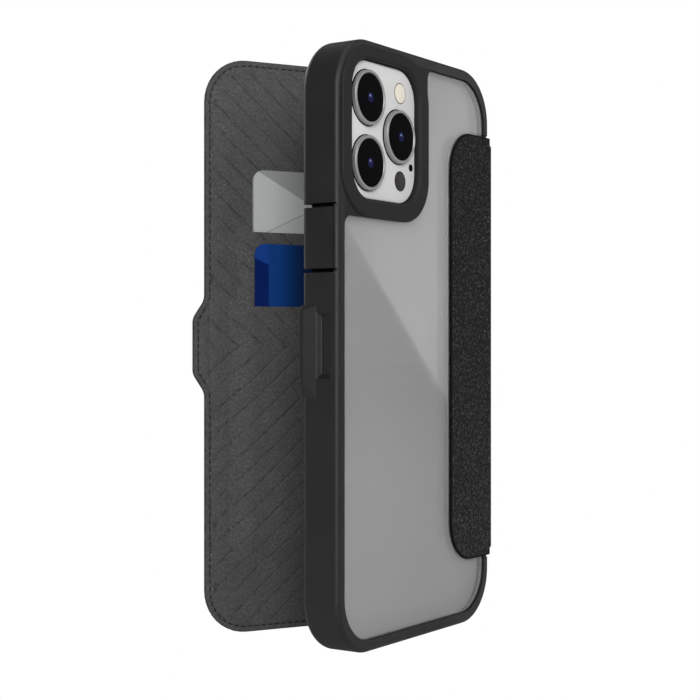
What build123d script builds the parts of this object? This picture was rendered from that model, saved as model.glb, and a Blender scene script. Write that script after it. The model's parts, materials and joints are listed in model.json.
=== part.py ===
from build123d import *
import os

# Phone wallet case: a rugged bumper shell with a clear back, and a leather folio cover
# with two card pockets.  Millimetres.  +Z runs up the long side, the back faces -Y, the
# screen side faces +Y, and the origin is the middle of the seat that the phone lies on.

# ---- the phone that the case is made for
PHONE_WIDTH = 78.1
PHONE_HEIGHT = 160.8
PHONE_DEPTH = 7.65
PHONE_CORNER = 13.2

# ---- shell
SHELL_WIDTH = 82.2
SHELL_HEIGHT = 165.8
SHELL_CORNER = 15.0
BACK_RIM_Y = -2.5            # rear face of the bumper
FRONT_Y = 9.7                # front face of the lip
BACK_EDGE_ROUND = 1.4
FRONT_EDGE_ROUND = 2.4
BAY_PLAY = 0.1               # each side of the phone
BAY_DEPTH = PHONE_DEPTH + 0.25
LIP_OVERLAP = 1.4            # how far the lip reaches over the bay
LIP_ROUND = 0.6

# ---- clear back panel
PANEL_Y = -1.9               # rear face
WINDOW_WIDTH = 76.0
WINDOW_HEIGHT = 159.4
WINDOW_CORNER = 12.8
TONGUE = 1.0                 # width of the edge that the bumper grips
TONGUE_Y = (-1.2, -0.3)
PANEL_BEVEL = (0.4, 1.3)     # depth and width

# ---- camera opening and its raised surround
CAMERA_X = (-34.7, -0.35)
CAMERA_Z = (39.7, 77.7)
CAMERA_CORNER = 9.0
SURROUND_Y = -3.1
SURROUND_X = (-39.5, 4.6)
SURROUND_Z = (34.7, 81.3)
SURROUND_CORNER = 12.9
WEB_ROUND = 3.0              # where its foot meets the rim
WEB_GAP = 0.03               # between its foot and the bumper
SURROUND_ROUND = 0.55        # outer edge
SURROUND_CHAMFER = 0.7       # inner edge
SLEEVE_WALL = 1.5

# ---- side buttons, as heights on the phone
BUTTON_Y = 4.0
POWER_Z = 28.6
POWER_LENGTH = 16.2
POWER_SLIT = 1.1
POWER_BASE_Y = -0.95         # foot of the moving wall segment
POWER_BASE_GAP = 0.15
POWER_SLIT_Y = -1.9           # how far back the slits run
POWER_FACE_GAP = 0.35        # between the segment and the walls of the bay beside it
POWER_TONGUE_GAP = 0.25      # between the segment and the panel's tongue
POWER_RELIEF = (0.5, 3.0, 11.0)   # hollow over the phone's own button: depth, Y, Z
VOLUME_Z = (33.4, 19.4)
VOLUME_LENGTH = 11.0
VOLUME_WIDTH = 3.6
VOLUME_FLANGE = 0.9          # how far the flange stands out round the button
VOLUME_FLANGE_X = (39.45, 40.05)
BUTTON_PLAY = 0.25
BUTTON_CROWN = 0.12
BUTTON_ROUND = 0.4
SWITCH_Z = 47.4
SWITCH_SIZE = (6.2, 12.0)

# ---- bottom openings
PORT_SIZE = (13.5, 6.5)
SOUND_SLOT_X = 17.5
SOUND_SLOT_SIZE = (13.0, 2.4)

# ---- finger scoop and flared lip on the opening side
SCOOP_Z = (-8.8, 9.3)
SCOOP_DEPTH = 1.2
SCOOP_SLOPE = 0.6            # how far the scoop's rear edge slopes in
SCOOP_Y = (0.2, 3.6)
SCOOP_END_SLOPE = 1.4        # how far the scoop's upper and lower ends slope in
SCOOP_ROUND = 0.6
FLARE = 1.0
FLARE_START_Y = 4.5
FLARE_Y = 8.0
FLARE_TAIL_Z = -14.0
FLARE_RAMP = 1.5             # height of the slope at the flare's upper end
FLARE_ROUND = 0.7
CATCH_SIZE = (2.6, 0.8, 13.0)
CATCH_CENTRE = (-40.1, 8.75, 0)

# ---- leather flap on the back
LEATHER = 0.8
FLAP_LEFT_X = 18.1
FLAP_RIGHT_X = 42.35
FLAP_HALF_HEIGHT = 64.1
FLAP_CORNER = 12.0
FLAP_SEAT_Y = -1.6
FLAP_SEAT_MARGIN = (1.0, 0.5)   # sideways and up and down
ADHESIVE = 0.1
ADHESIVE_INSET = 0.6
ADHESIVE_EDGE_X = SHELL_WIDTH / 2 - 0.5

# ---- spine, parallel to the right side of the shell
SPINE_X = 42.25
SPINE_Y = (-1.2, 11.4)
SPINE_LINING = 0.4
SPINE_BOARD = 0.3
SPINE_BOARD_INSET = 1.0

# ---- cover, drawn flat: x away from its hinge, y towards the phone
HINGE_X = 43.0
HINGE_Y = 12.0
OPEN_DEG = 28.8
COVER_START = 1.1
COVER_END = 83.05
COVER_HALF_HEIGHT = 83.5
COVER_CORNER = 13.0
LINING_FACE = 0.6
LINING = 0.4
PADDING = 0.5
BOARD = 0.7
SEAM_WIDTH = 2.4
SEAM_WALL = 0.6
STITCH_INSET = 1.6
THREAD_WIDTH = 0.5
THREAD_DEPTH = 0.25

# ---- pull tab at the cover's free edge
CREASE_X = 81.5
CREASE_GAP = 0.3
TAB_END = 86.65
TAB_HALF_ROOT = 13.85
TAB_HALF_NECK = 12.6
TAB_HALF_TIP = 8.3
TAB_NECK_ROUND = 3.0
TAB_TIP_ROUND = 3.5
MAGNET_X = (82.0, 84.4)
MAGNET_HEIGHT = 13.0
MAGNET_MARGIN = 0.3
TAB_SEAM_GAP_X = 83.2        # the seam is open round the magnet as far as this
TAB_SEAM_GAP_HALF = 8.0
TAB_SEAM_START = 0.9         # from the crease

# ---- cards and the pockets that hold them
CARD_WIDTH = 54.0
CARD_HEIGHT = 85.6
CARD_THICKNESS = 0.76
CARD_CORNER = 3.18
CARD_CENTRE_X = 41.1
CARD_TOPS = (51.6, 29.9)
SLOT_TOPS = (33.4, 11.6)
CARD_PLAY = 0.06
CARD_SIDE_PLAY = 0.4
CARD_REST_GAP = 0.05
POCKET_WALL = 0.8
DIVIDER = 0.35
POCKET_PANEL = 0.4
POCKET_BOTTOM = CARD_TOPS[1] - CARD_HEIGHT - CARD_REST_GAP - POCKET_WALL

# ---- worked out from the above
CUT = 1.0                    # how far a cutting solid runs past what it cuts
WALL_X = PHONE_WIDTH / 2 + BAY_PLAY
LEATHER_FACE = LINING_FACE - LINING          # where leather and lining meet at the seam
BOARD_BACK = LEATHER_FACE - PADDING - BOARD
CARD_1 = LINING_FACE + CARD_PLAY
DIVIDER_Y = CARD_1 + CARD_THICKNESS + CARD_PLAY
CARD_2 = DIVIDER_Y + DIVIDER + CARD_PLAY
POCKET_PANEL_Y = CARD_2 + CARD_THICKNESS + CARD_PLAY
COVER_SPAN_Y = (BOARD_BACK - LEATHER - CUT, LINING_FACE + CUT)
COVER_PLACE = Pos(HINGE_X, HINGE_Y, 0) * Rot(0, 0, 180 - OPEN_DEG)


def slab(outline, y_low, y_high):
    """A sketch drawn in X and Z, given thickness from y_low to y_high."""
    face = Plane(origin=(0, y_high, 0), x_dir=(1, 0, 0), z_dir=(0, -1, 0)) * outline
    return extrude(face, y_high - y_low)


def block(x, y, z):
    """A box between two X, two Y and two Z values."""
    size = [high - low for low, high in (x, y, z)]
    middle = [(high + low) / 2 for low, high in (x, y, z)]
    return Pos(*middle) * Box(*size)


def centred(width, height, corner):
    return RectangleRounded(width, height, corner)


def spanning(x, z, corner):
    """A rounded rectangle between two X and two Z values."""
    size = (x[1] - x[0], z[1] - z[0])
    return Pos((x[0] + x[1]) / 2, (z[0] + z[1]) / 2) * RectangleRounded(*size, corner)


def side_pill(x, z, width, length):
    """A pill-shaped peg through a side wall: width along Y, length along Z."""
    sketch = Plane.YZ * Pos(BUTTON_Y, z) * Rot(0, 0, 90) * SlotOverall(length, width)
    return Pos(x[0], 0, 0) * extrude(sketch, x[1] - x[0])


def bottom_pill(x, size):
    """A pill-shaped peg through the bottom wall."""
    sketch = Plane.XY * Pos(x, BAY_DEPTH / 2) * SlotOverall(*size)
    return Pos(0, 0, -SHELL_HEIGHT / 2 - 1) * extrude(sketch, 5)


# ---------------------------------------------------------------- shell

def flap_outline(margin_x=0.0, margin_z=0.0, right=FLAP_RIGHT_X):
    """The flap's shape on the back: round corners on its free side only."""
    left = FLAP_LEFT_X - margin_x
    half = FLAP_HALF_HEIGHT + margin_z
    corner = FLAP_CORNER + margin_x
    whole = spanning((left, right + 3 * corner), (-half, half), corner)
    return whole & Pos((left + right) / 2, 0) * Rectangle(right - left, 2 * half)


def camera_outline(grow=0.0):
    x = (CAMERA_X[0] - grow, CAMERA_X[1] + grow)
    z = (CAMERA_Z[0] - grow, CAMERA_Z[1] + grow)
    return spanning(x, z, CAMERA_CORNER + grow)


def panel_blank():
    """The clear panel without its camera opening or flap seat."""
    plate = slab(centred(WINDOW_WIDTH, WINDOW_HEIGHT, WINDOW_CORNER), PANEL_Y, 0)
    rear = plate.faces().sort_by(Axis.Y)[0]
    plate = chamfer(rear.edges(), PANEL_BEVEL[0], PANEL_BEVEL[1], reference=rear)
    grown = [size + 2 * TONGUE for size in (WINDOW_WIDTH, WINDOW_HEIGHT)]
    return plate + slab(centred(*grown, WINDOW_CORNER + TONGUE), *TONGUE_Y)


def back_panel():
    seat_floor = slab(flap_outline(*FLAP_SEAT_MARGIN, right=SHELL_WIDTH / 2 + CUT),
                      PANEL_Y - CUT, FLAP_SEAT_Y)
    return panel_blank() - seat_floor - slab(camera_outline(SLEEVE_WALL), PANEL_Y - CUT, CUT)


def surround_foot():
    """The surround's foot inside the bumper's window, rounded in where it meets the rim."""
    x, z = SURROUND_X[1], SURROUND_Z[0]
    beyond = 3 * SURROUND_CORNER
    foot = spanning((SURROUND_X[0] - beyond, x), (z, SURROUND_Z[1] + beyond), SURROUND_CORNER)
    for corner_x, corner_z in ((x, WINDOW_HEIGHT / 2), (-WINDOW_WIDTH / 2, z)):
        square = Pos(corner_x + WEB_ROUND / 2, corner_z - WEB_ROUND / 2) * Rectangle(
            WEB_ROUND, WEB_ROUND)
        hollow = Pos(corner_x + WEB_ROUND, corner_z - WEB_ROUND) * Circle(WEB_ROUND)
        foot += square - hollow
    inside = [size - 2 * WEB_GAP for size in (WINDOW_WIDTH, WINDOW_HEIGHT)]
    return foot & centred(*inside, WINDOW_CORNER)


def camera_surround():
    """A raised ring round the camera opening, with a sleeve down through the panel."""
    ring = slab(spanning(SURROUND_X, SURROUND_Z, SURROUND_CORNER), SURROUND_Y, BACK_RIM_Y)
    ring = fillet(ring.faces().sort_by(Axis.Y)[0].edges(), SURROUND_ROUND)
    body = ring + slab(surround_foot(), BACK_RIM_Y, PANEL_Y)
    body += slab(camera_outline(SLEEVE_WALL), PANEL_Y, 0)
    body -= slab(camera_outline(), SURROUND_Y - CUT, CUT)
    rim = body.faces().sort_by(Axis.Y)[0].inner_wires()[0].edges()
    return chamfer(rim, SURROUND_CHAMFER)


def scoop():
    """The scoop's cut: a hollow in the wall with sloped ends, then the slope of the flare."""
    side = -SHELL_WIDTH / 2
    outside = side - FLARE - CUT
    inner = side + SCOOP_DEPTH
    low, high = SCOOP_Z
    plan = make_face(Polyline((outside, SCOOP_Y[0]), (side, SCOOP_Y[0]),
                              (inner, SCOOP_Y[0] + SCOOP_SLOPE), (inner, SCOOP_Y[1]),
                              (side, FLARE_START_Y), (side - FLARE, FLARE_Y),
                              (outside, FLARE_Y), close=True))
    corners = [v for v in plan.vertices() if SCOOP_Y[1] - 0.1 < v.Y < FLARE_START_Y + 0.1]
    plan = fillet(corners, SCOOP_ROUND)
    run = Pos(0, 0, low) * extrude(plan, high - low)
    ends = make_face(Polyline((outside, high), (side, high), (inner, high - SCOOP_END_SLOPE),
                              (inner, low + SCOOP_END_SLOPE), (side, low), (outside, low),
                              close=True))
    return run & slab(ends, SCOOP_Y[0] - CUT, FLARE_Y + CUT)


def flare():
    """The lip's outward flare beside the scoop, sloped above and fading to nothing below."""
    side = -SHELL_WIDTH / 2
    outer = side - FLARE
    root = side + FRONT_EDGE_ROUND + 0.1     # inside the wall that the flare joins
    plan = make_face(Polyline((root, FLARE_START_Y), (side, FLARE_START_Y), (outer, FLARE_Y),
                              (outer, FRONT_Y), (root, FRONT_Y), close=True))
    top = SCOOP_Z[1] + FLARE_RAMP
    run = Pos(0, 0, FLARE_TAIL_Z) * extrude(plan, top - FLARE_TAIL_Z)
    front = make_face(Polyline((root, top), (side, top), (outer, SCOOP_Z[1]),
                               (outer, SCOOP_Z[0]), (side, FLARE_TAIL_Z),
                               (root, FLARE_TAIL_Z), close=True))
    wedge = run & slab(front, 0, FRONT_Y)
    front_edges = wedge.edges().group_by(Axis.Y)[-1]
    return fillet([edge for edge in front_edges if edge.center().X < side - FLARE / 5],
                  FLARE_ROUND)


def bumper_outside():
    body = slab(centred(SHELL_WIDTH, SHELL_HEIGHT, SHELL_CORNER), BACK_RIM_Y, FRONT_Y)
    body = fillet(body.edges().group_by(Axis.Y)[0], BACK_EDGE_ROUND)
    body = fillet(body.edges().group_by(Axis.Y)[-1], FRONT_EDGE_ROUND)
    body += flare()
    return body - scoop()


def bay():
    """Where the phone lies, and the opening in the lip in front of it."""
    size = (2 * WALL_X, PHONE_HEIGHT + 2 * BAY_PLAY)
    opening = [value - 2 * LIP_OVERLAP for value in size]
    corner = PHONE_CORNER + BAY_PLAY
    lip = slab(centred(*opening, corner - LIP_OVERLAP), BAY_DEPTH, FRONT_Y + CUT)
    return slab(centred(*size, corner), 0, BAY_DEPTH) + lip


def bumper_whole():
    """The bumper before the power button is cut free."""
    body = bumper_outside() - bay()
    front = body.faces().sort_by(Axis.Y)[-1]
    body = fillet(front.inner_wires()[0].edges(), LIP_ROUND)
    body -= slab(centred(WINDOW_WIDTH, WINDOW_HEIGHT, WINDOW_CORNER), BACK_RIM_Y - CUT, CUT)
    body -= panel_blank()
    half = FLAP_HALF_HEIGHT + FLAP_SEAT_MARGIN[1]
    outside = SHELL_WIDTH / 2 + CUT
    body -= block((WINDOW_WIDTH / 2 - CUT, outside), (BACK_RIM_Y - CUT, FLAP_SEAT_Y),
                  (-half, half))
    body -= bottom_pill(0, PORT_SIZE)
    for side in (-1, 1):
        body -= bottom_pill(side * SOUND_SLOT_X, SOUND_SLOT_SIZE)
    body -= side_pill((WALL_X - CUT, outside), SWITCH_Z, *SWITCH_SIZE)
    play = 2 * BUTTON_PLAY
    rim = play + 2 * VOLUME_FLANGE
    for z in VOLUME_Z:
        body -= side_pill((WALL_X - CUT, outside), z, VOLUME_WIDTH + play, VOLUME_LENGTH + play)
        body -= side_pill((WALL_X - CUT, VOLUME_FLANGE_X[1] + BUTTON_PLAY / 2), z,
                          VOLUME_WIDTH + rim, VOLUME_LENGTH + rim)
    return body


def power_span(z, base_y, step_x, step_y):
    """The stretch of left wall, lip included, that belongs to the power button.

    Below step_y it keeps outside step_x, clear of the panel."""
    outside = -SHELL_WIDTH / 2 - FLARE - CUT
    low = block((outside, step_x), (base_y, FRONT_Y + CUT), z)
    high = block((outside, -WALL_X + LIP_OVERLAP + CUT), (step_y, FRONT_Y + CUT), z)
    return low + high


def power_button(whole):
    """A segment of wall between two relief slits, hinged on the rim along its foot."""
    half = POWER_LENGTH / 2
    piece = whole & power_span((POWER_Z - half, POWER_Z + half), POWER_BASE_Y,
                               -WALL_X - POWER_FACE_GAP, POWER_BASE_GAP)
    depth, width, length = POWER_RELIEF
    relief = block((-WALL_X - depth, -WALL_X + CUT), (BUTTON_Y - width / 2, BUTTON_Y + width / 2),
                   (POWER_Z - length / 2, POWER_Z + length / 2))
    return piece - relief


def bumper(whole):
    half = POWER_LENGTH / 2 + POWER_SLIT
    base = POWER_BASE_Y - POWER_BASE_GAP
    tongue_x = -WINDOW_WIDTH / 2 - TONGUE
    room = power_span((POWER_Z - half, POWER_Z + half), base, tongue_x,
                      POWER_BASE_GAP - POWER_TONGUE_GAP)
    body = whole - room - catch_plate()
    outside = -SHELL_WIDTH / 2 - FLARE - CUT
    for z in (POWER_Z - half, POWER_Z + half - POWER_SLIT):
        body -= block((outside, tongue_x), (POWER_SLIT_Y, base + CUT), (z, z + POWER_SLIT))
    return body


def catch_plate():
    """The steel strip moulded into the flared lip, which the tab's magnet holds to."""
    return Pos(*CATCH_CENTRE) * Box(*CATCH_SIZE)


def volume_button(z):
    face = side_pill((VOLUME_FLANGE_X[0], SHELL_WIDTH / 2 + BUTTON_CROWN), z,
                     VOLUME_WIDTH, VOLUME_LENGTH)
    face = fillet(face.edges().group_by(Axis.X)[-1], BUTTON_ROUND)
    grow = 2 * VOLUME_FLANGE
    return face + side_pill(VOLUME_FLANGE_X, z, VOLUME_WIDTH + grow, VOLUME_LENGTH + grow)


def flap_leather():
    return slab(flap_outline(), BACK_RIM_Y, BACK_RIM_Y + LEATHER)


def flap_adhesive():
    sheet = flap_outline(-ADHESIVE_INSET, -ADHESIVE_INSET, right=ADHESIVE_EDGE_X)
    return slab(sheet, FLAP_SEAT_Y - ADHESIVE, FLAP_SEAT_Y)


# ---------------------------------------------------------------- spine

def spine_layers():
    """The spine's lining, its stiffening board and the leather round it."""
    half = FLAP_HALF_HEIGHT
    lining_x = (SPINE_X, SPINE_X + SPINE_LINING)
    board_x = (lining_x[1], lining_x[1] + SPINE_BOARD)
    leather_x = (lining_x[1], board_x[1] + LEATHER)
    inner_y = (SPINE_Y[0] + SPINE_BOARD_INSET, SPINE_Y[1] - SPINE_BOARD_INSET)
    inner_z = (SPINE_BOARD_INSET - half, half - SPINE_BOARD_INSET)
    board = block(board_x, inner_y, inner_z)
    leather = block(leather_x, SPINE_Y, (-half, half)) - board
    lining = block(lining_x, SPINE_Y, (-half, half))
    return {"spine_leather": leather, "spine_board": board, "spine_lining": lining}


# ---------------------------------------------------------------- cover

def cover_outline(inset=0.0):
    x = (COVER_START + inset, COVER_END - inset)
    half = COVER_HALF_HEIGHT - inset
    return spanning(x, (-half, half), COVER_CORNER - inset)


def tab_notch():
    """The part of the cover's free edge that the tab takes up."""
    half = TAB_HALF_ROOT + CREASE_GAP / 2
    return block((CREASE_X - CREASE_GAP / 2, COVER_END + CUT), COVER_SPAN_Y, (-half, half))


def seam_thread(outer, inner):
    """The visible line of a seam: a cord as a ring between two outlines."""
    return slab(outer - inner, LINING_FACE - THREAD_DEPTH, LINING_FACE)


def cover_thread():
    half = THREAD_WIDTH / 2
    ring = seam_thread(cover_outline(STITCH_INSET - half), cover_outline(STITCH_INSET + half))
    notch = TAB_HALF_ROOT + CREASE_GAP + half
    return ring - block((CREASE_X - CUT, COVER_END + CUT), COVER_SPAN_Y, (-notch, notch))


def cover_layers():
    """Leather, board, padding and lining, from the outside in."""
    room = cover_outline(SEAM_WIDTH + SEAM_WALL)
    leather = slab(cover_outline(), LEATHER_FACE - LEATHER, LEATHER_FACE)
    leather += slab(cover_outline(SEAM_WIDTH), BOARD_BACK - LEATHER, LEATHER_FACE - LEATHER)
    leather -= slab(room, BOARD_BACK, LEATHER_FACE)
    board = slab(room, BOARD_BACK, BOARD_BACK + BOARD)
    padding = slab(room, BOARD_BACK + BOARD, LEATHER_FACE)
    lining = slab(cover_outline(), LEATHER_FACE, LINING_FACE) - cover_thread()
    return {"cover_leather": leather - tab_notch(), "cover_board": board,
            "cover_padding": padding, "cover_lining": lining - tab_notch()}


def pocket(top, y_floor, y_front, front, stops):
    """A pouch open at its top: two side walls, a front, and a wall at each stop."""
    half = CARD_WIDTH / 2 + CARD_SIDE_PLAY
    inner = (CARD_CENTRE_X - half, CARD_CENTRE_X + half)
    outer = (inner[0] - POCKET_WALL, inner[1] + POCKET_WALL)
    height = (POCKET_BOTTOM, top)
    body = block(outer, (y_floor, y_front + front), height)
    body -= block(inner, (y_floor, y_front), (POCKET_BOTTOM - CUT, top + CUT))
    for stop in stops:
        body += block(outer, (y_floor, y_front), (stop - POCKET_WALL, stop))
    return body


def card(number, y_low):
    middle = CARD_TOPS[number] - CARD_HEIGHT / 2
    outline = Pos(CARD_CENTRE_X, middle) * RectangleRounded(CARD_WIDTH, CARD_HEIGHT, CARD_CORNER)
    return slab(outline, y_low, y_low + CARD_THICKNESS)


def pockets_and_cards():
    rests = [top - CARD_HEIGHT - CARD_REST_GAP for top in CARD_TOPS]
    divider = pocket(SLOT_TOPS[0], LINING_FACE, DIVIDER_Y, DIVIDER, rests)
    panel = pocket(SLOT_TOPS[1], DIVIDER_Y + DIVIDER, POCKET_PANEL_Y, POCKET_PANEL, rests[1:])
    return {"pocket_divider": divider, "pocket_panel": panel,
            "card_upper": card(0, CARD_1), "card_lower": card(1, CARD_2)}


# ---------------------------------------------------------------- tab

def tab_outline():
    """The tab in plan, flaring out of the cover's edge to a blunt tip."""
    root = CREASE_X + CREASE_GAP / 2
    upper = [(root, TAB_HALF_ROOT), (COVER_END, TAB_HALF_ROOT), (COVER_END, TAB_HALF_NECK),
             (TAB_END, TAB_HALF_TIP)]
    lower = [(x, -z) for x, z in reversed(upper)]
    face = make_face(Polyline(*upper, *lower, close=True))
    face = fillet([v for v in face.vertices() if v.X > COVER_END + CUT], TAB_TIP_ROUND)
    necks = [v for v in face.vertices()
             if v.X > CREASE_X + CUT and TAB_HALF_TIP < abs(v.Y) < TAB_HALF_NECK + CREASE_GAP]
    return fillet([v for v in necks if v.X < COVER_END + CREASE_GAP], TAB_NECK_ROUND)


def tab_thread():
    half = THREAD_WIDTH / 2
    outline = tab_outline()
    ring = seam_thread(offset(outline, half - STITCH_INSET), offset(outline, -half - STITCH_INSET))
    gap = (-TAB_SEAM_GAP_HALF, TAB_SEAM_GAP_HALF)
    root = (-TAB_HALF_ROOT, TAB_HALF_ROOT)
    ring -= block((CREASE_X, TAB_SEAM_GAP_X), COVER_SPAN_Y, gap)
    return ring - block((CREASE_X, CREASE_X + TAB_SEAM_START), COVER_SPAN_Y, root)


def tab_layers():
    half = MAGNET_HEIGHT / 2
    outer = LEATHER_FACE - LEATHER
    magnet = block(MAGNET_X, (outer, LEATHER_FACE), (-half, half))
    bump_x = (MAGNET_X[0] - CREASE_GAP / 3, MAGNET_X[1] + MAGNET_MARGIN)
    bump_z = (-half - MAGNET_MARGIN, half + MAGNET_MARGIN)
    leather = slab(tab_outline(), outer, LEATHER_FACE)
    leather += block(bump_x, (outer - LEATHER, outer), bump_z)
    thread = tab_thread()
    lining = slab(tab_outline(), LEATHER_FACE, LINING_FACE) - thread
    return {"tab_leather": leather - magnet, "tab_lining": lining,
            "tab_magnet": magnet, "tab_thread": thread}


def build():
    whole = bumper_whole()
    nodes = {
        "bumper": bumper(whole),
        "back_panel": back_panel(),
        "camera_surround": camera_surround(),
        "catch_plate": catch_plate(),
        "power_button": power_button(whole),
        "volume_up_button": volume_button(VOLUME_Z[0]),
        "volume_down_button": volume_button(VOLUME_Z[1]),
        "flap_leather": flap_leather(),
        "flap_adhesive": flap_adhesive(),
    }
    nodes.update(spine_layers())
    on_cover = cover_layers()
    on_cover["cover_thread"] = cover_thread()
    on_cover.update(pockets_and_cards())
    on_cover.update(tab_layers())
    for name, piece in on_cover.items():
        nodes[name] = COVER_PLACE * piece
    return nodes


os.makedirs("parts", exist_ok=True)
for node_name, solid in build().items():
    solid.label = node_name
    export_step(solid, f"parts/{node_name}.step")
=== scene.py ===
import json
import math

import bmesh
import bpy
import numpy as np
from mathutils import Matrix, Vector, noise
from mathutils.geometry import delaunay_2d_cdt

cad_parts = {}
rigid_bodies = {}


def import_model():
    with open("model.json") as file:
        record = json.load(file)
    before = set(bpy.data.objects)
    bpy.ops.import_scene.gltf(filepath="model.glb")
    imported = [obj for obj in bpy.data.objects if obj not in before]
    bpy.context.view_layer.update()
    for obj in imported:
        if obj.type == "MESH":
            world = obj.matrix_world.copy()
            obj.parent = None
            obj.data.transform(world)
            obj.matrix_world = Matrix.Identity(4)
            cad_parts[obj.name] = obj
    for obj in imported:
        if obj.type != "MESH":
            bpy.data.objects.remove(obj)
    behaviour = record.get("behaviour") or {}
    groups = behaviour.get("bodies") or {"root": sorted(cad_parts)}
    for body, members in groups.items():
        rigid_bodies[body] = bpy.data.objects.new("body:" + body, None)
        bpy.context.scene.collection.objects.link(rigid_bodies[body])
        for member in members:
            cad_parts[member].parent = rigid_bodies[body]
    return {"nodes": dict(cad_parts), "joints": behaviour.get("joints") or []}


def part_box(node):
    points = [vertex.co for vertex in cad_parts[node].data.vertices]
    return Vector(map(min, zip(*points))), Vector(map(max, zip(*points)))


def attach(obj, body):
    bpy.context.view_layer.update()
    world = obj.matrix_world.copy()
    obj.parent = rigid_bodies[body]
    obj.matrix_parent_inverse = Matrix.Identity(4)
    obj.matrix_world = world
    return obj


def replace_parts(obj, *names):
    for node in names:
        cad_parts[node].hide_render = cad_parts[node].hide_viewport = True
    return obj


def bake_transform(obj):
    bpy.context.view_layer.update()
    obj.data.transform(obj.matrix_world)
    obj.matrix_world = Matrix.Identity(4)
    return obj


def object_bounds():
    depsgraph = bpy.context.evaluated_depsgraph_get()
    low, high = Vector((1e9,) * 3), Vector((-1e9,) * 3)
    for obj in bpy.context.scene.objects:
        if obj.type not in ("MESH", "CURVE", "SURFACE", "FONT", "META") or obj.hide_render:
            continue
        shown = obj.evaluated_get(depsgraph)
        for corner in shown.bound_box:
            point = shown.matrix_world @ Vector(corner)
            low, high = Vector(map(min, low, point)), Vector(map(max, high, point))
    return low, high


# Looks for the phone wallet case.  Lengths are in millimetres, in the frame of the packed
# model, until a mesh is made.  The soft pieces are sheets drawn flat: x runs across the
# sheet, z up, and h is the height off the sheet's middle line, towards the phone.

for leftover in list(bpy.data.objects):
    bpy.data.objects.remove(leftover)
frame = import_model()
cad_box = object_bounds()
nodes = frame["nodes"]
joints = {joint["name"]: joint for joint in frame["joints"]}
MM = 0.001


# ---------------------------------------------------------------- places from the frame

def box_mm(node):
    low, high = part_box(node)
    return low / MM, high / MM


def joint_point(name):
    """Where a hinge stands in plan, in millimetres."""
    return Vector(joints[name]["pos_m"][:2]) / MM


COVER_HINGE = joint_point("cover_fold")
OPEN_ANGLE = math.pi + math.radians(joints["cover_fold"]["range_deg"][0])
COVER_DIR = Vector((math.cos(OPEN_ANGLE), math.sin(OPEN_ANGLE)))
COVER_IN = Vector((-COVER_DIR.y, COVER_DIR.x))


def cover_span(node):
    """Lowest and highest (x, h, z) of a CAD node in the cover's own frame."""
    found = []
    for vertex in nodes[node].data.vertices:
        point = vertex.co / MM
        flat = point.xy - COVER_HINGE
        found.append((flat.dot(COVER_DIR), flat.dot(COVER_IN), point.z))
    return [min(c) for c in zip(*found)], [max(c) for c in zip(*found)]


FLAP_LOW, FLAP_HIGH = box_mm("flap_leather")
SPINE_LOW, SPINE_HIGH = box_mm("spine_leather")
SPINE_INNER_X = box_mm("spine_lining")[0].x
COVER_LOW = cover_span("cover_leather")[0]
LINING_LOW, LINING_HIGH = cover_span("cover_lining")
BOARD_LOW = cover_span("cover_board")[0]
TAB_LOW, TAB_HIGH = cover_span("tab_lining")
BUMP_LOW = cover_span("tab_leather")[0]
CARD_UPPER_LOW, CARD_UPPER_HIGH = cover_span("card_upper")
CARD_LOWER_LOW, CARD_LOWER_HIGH = cover_span("card_lower")
DIVIDER_LOW, DIVIDER_HIGH = cover_span("pocket_divider")
PANEL_LOW, PANEL_HIGH = cover_span("pocket_panel")
PLATE_LOW = box_mm("back_panel")[0]

COVER_CORNER = 13.0
FLAP_CORNER = 12.0
SEAM_INSET = 1.6             # stitches from the edge
SPINE_MIDDLE_Y = (SPINE_LOW.y + SPINE_HIGH.y) / 2
SPINE_HALF = SPINE_HIGH.z


# ---------------------------------------------------------------- outlines

def as_array(points):
    return np.array([tuple(p) for p in points])


def upright(x, low, high, step):
    """Points up the sheet at one x."""
    return [Vector((x, z)) for z in np.arange(low, high, step)]


def rounded(corners, radii, step=2.5, arc_steps=10):
    """A closed outline through corners (x, z), each rounded by its radius."""
    points = []
    count = len(corners)
    for i in range(count):
        corner = Vector(corners[i])
        back = Vector(corners[i - 1]) - corner
        ahead = Vector(corners[(i + 1) % count]) - corner
        radius = radii[i]
        if radius == 0:
            points.append(corner)
            continue
        half = back.angle(ahead) / 2
        reach = radius / math.tan(half)
        middle = corner + (back.normalized() + ahead.normalized()).normalized() * (
            radius / math.sin(half))
        start = corner + back.normalized() * reach - middle
        end = corner + ahead.normalized() * reach - middle
        turn = start.angle_signed(end)
        for k in range(arc_steps + 1):
            angle = -turn * k / arc_steps
            points.append(middle + Matrix.Rotation(angle, 2) @ start)
    return divided(points, step)


def divided(points, step):
    """The same closed outline with no side longer than step."""
    found = []
    for i, point in enumerate(points):
        after = points[(i + 1) % len(points)]
        pieces = max(1, math.ceil((after - point).length / step))
        found += [point.lerp(after, k / pieces) for k in range(pieces)]
    return found


def inside_depth(outline, points):
    """How deep each (x, z) lies inside a closed outline; negative outside."""
    a = as_array(outline)
    before, after = a - np.roll(a, 1, axis=0), np.roll(a, -1, axis=0) - a
    a = a[np.abs(before[:, 0] * after[:, 1] - before[:, 1] * after[:, 0]) > 1e-5]
    b = np.roll(a, -1, axis=0)
    depth = np.full(len(points), 1e9)
    crossings = np.zeros(len(points), int)
    for p, q in zip(a, b):
        side = q - p
        t = np.clip(((points - p) @ side) / max(side @ side, 1e-12), 0, 1)
        gap = points - (p + t[:, None] * side)
        depth = np.minimum(depth, np.hypot(gap[:, 0], gap[:, 1]))
        spans = (p[1] > points[:, 1]) != (q[1] > points[:, 1])
        if spans.any():
            at = p[0] + (points[:, 1] - p[1]) * side[0] / (side[1] if side[1] else 1e-12)
            crossings += spans & (points[:, 0] < at)
    return np.where(crossings % 2 == 1, depth, -depth)


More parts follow.
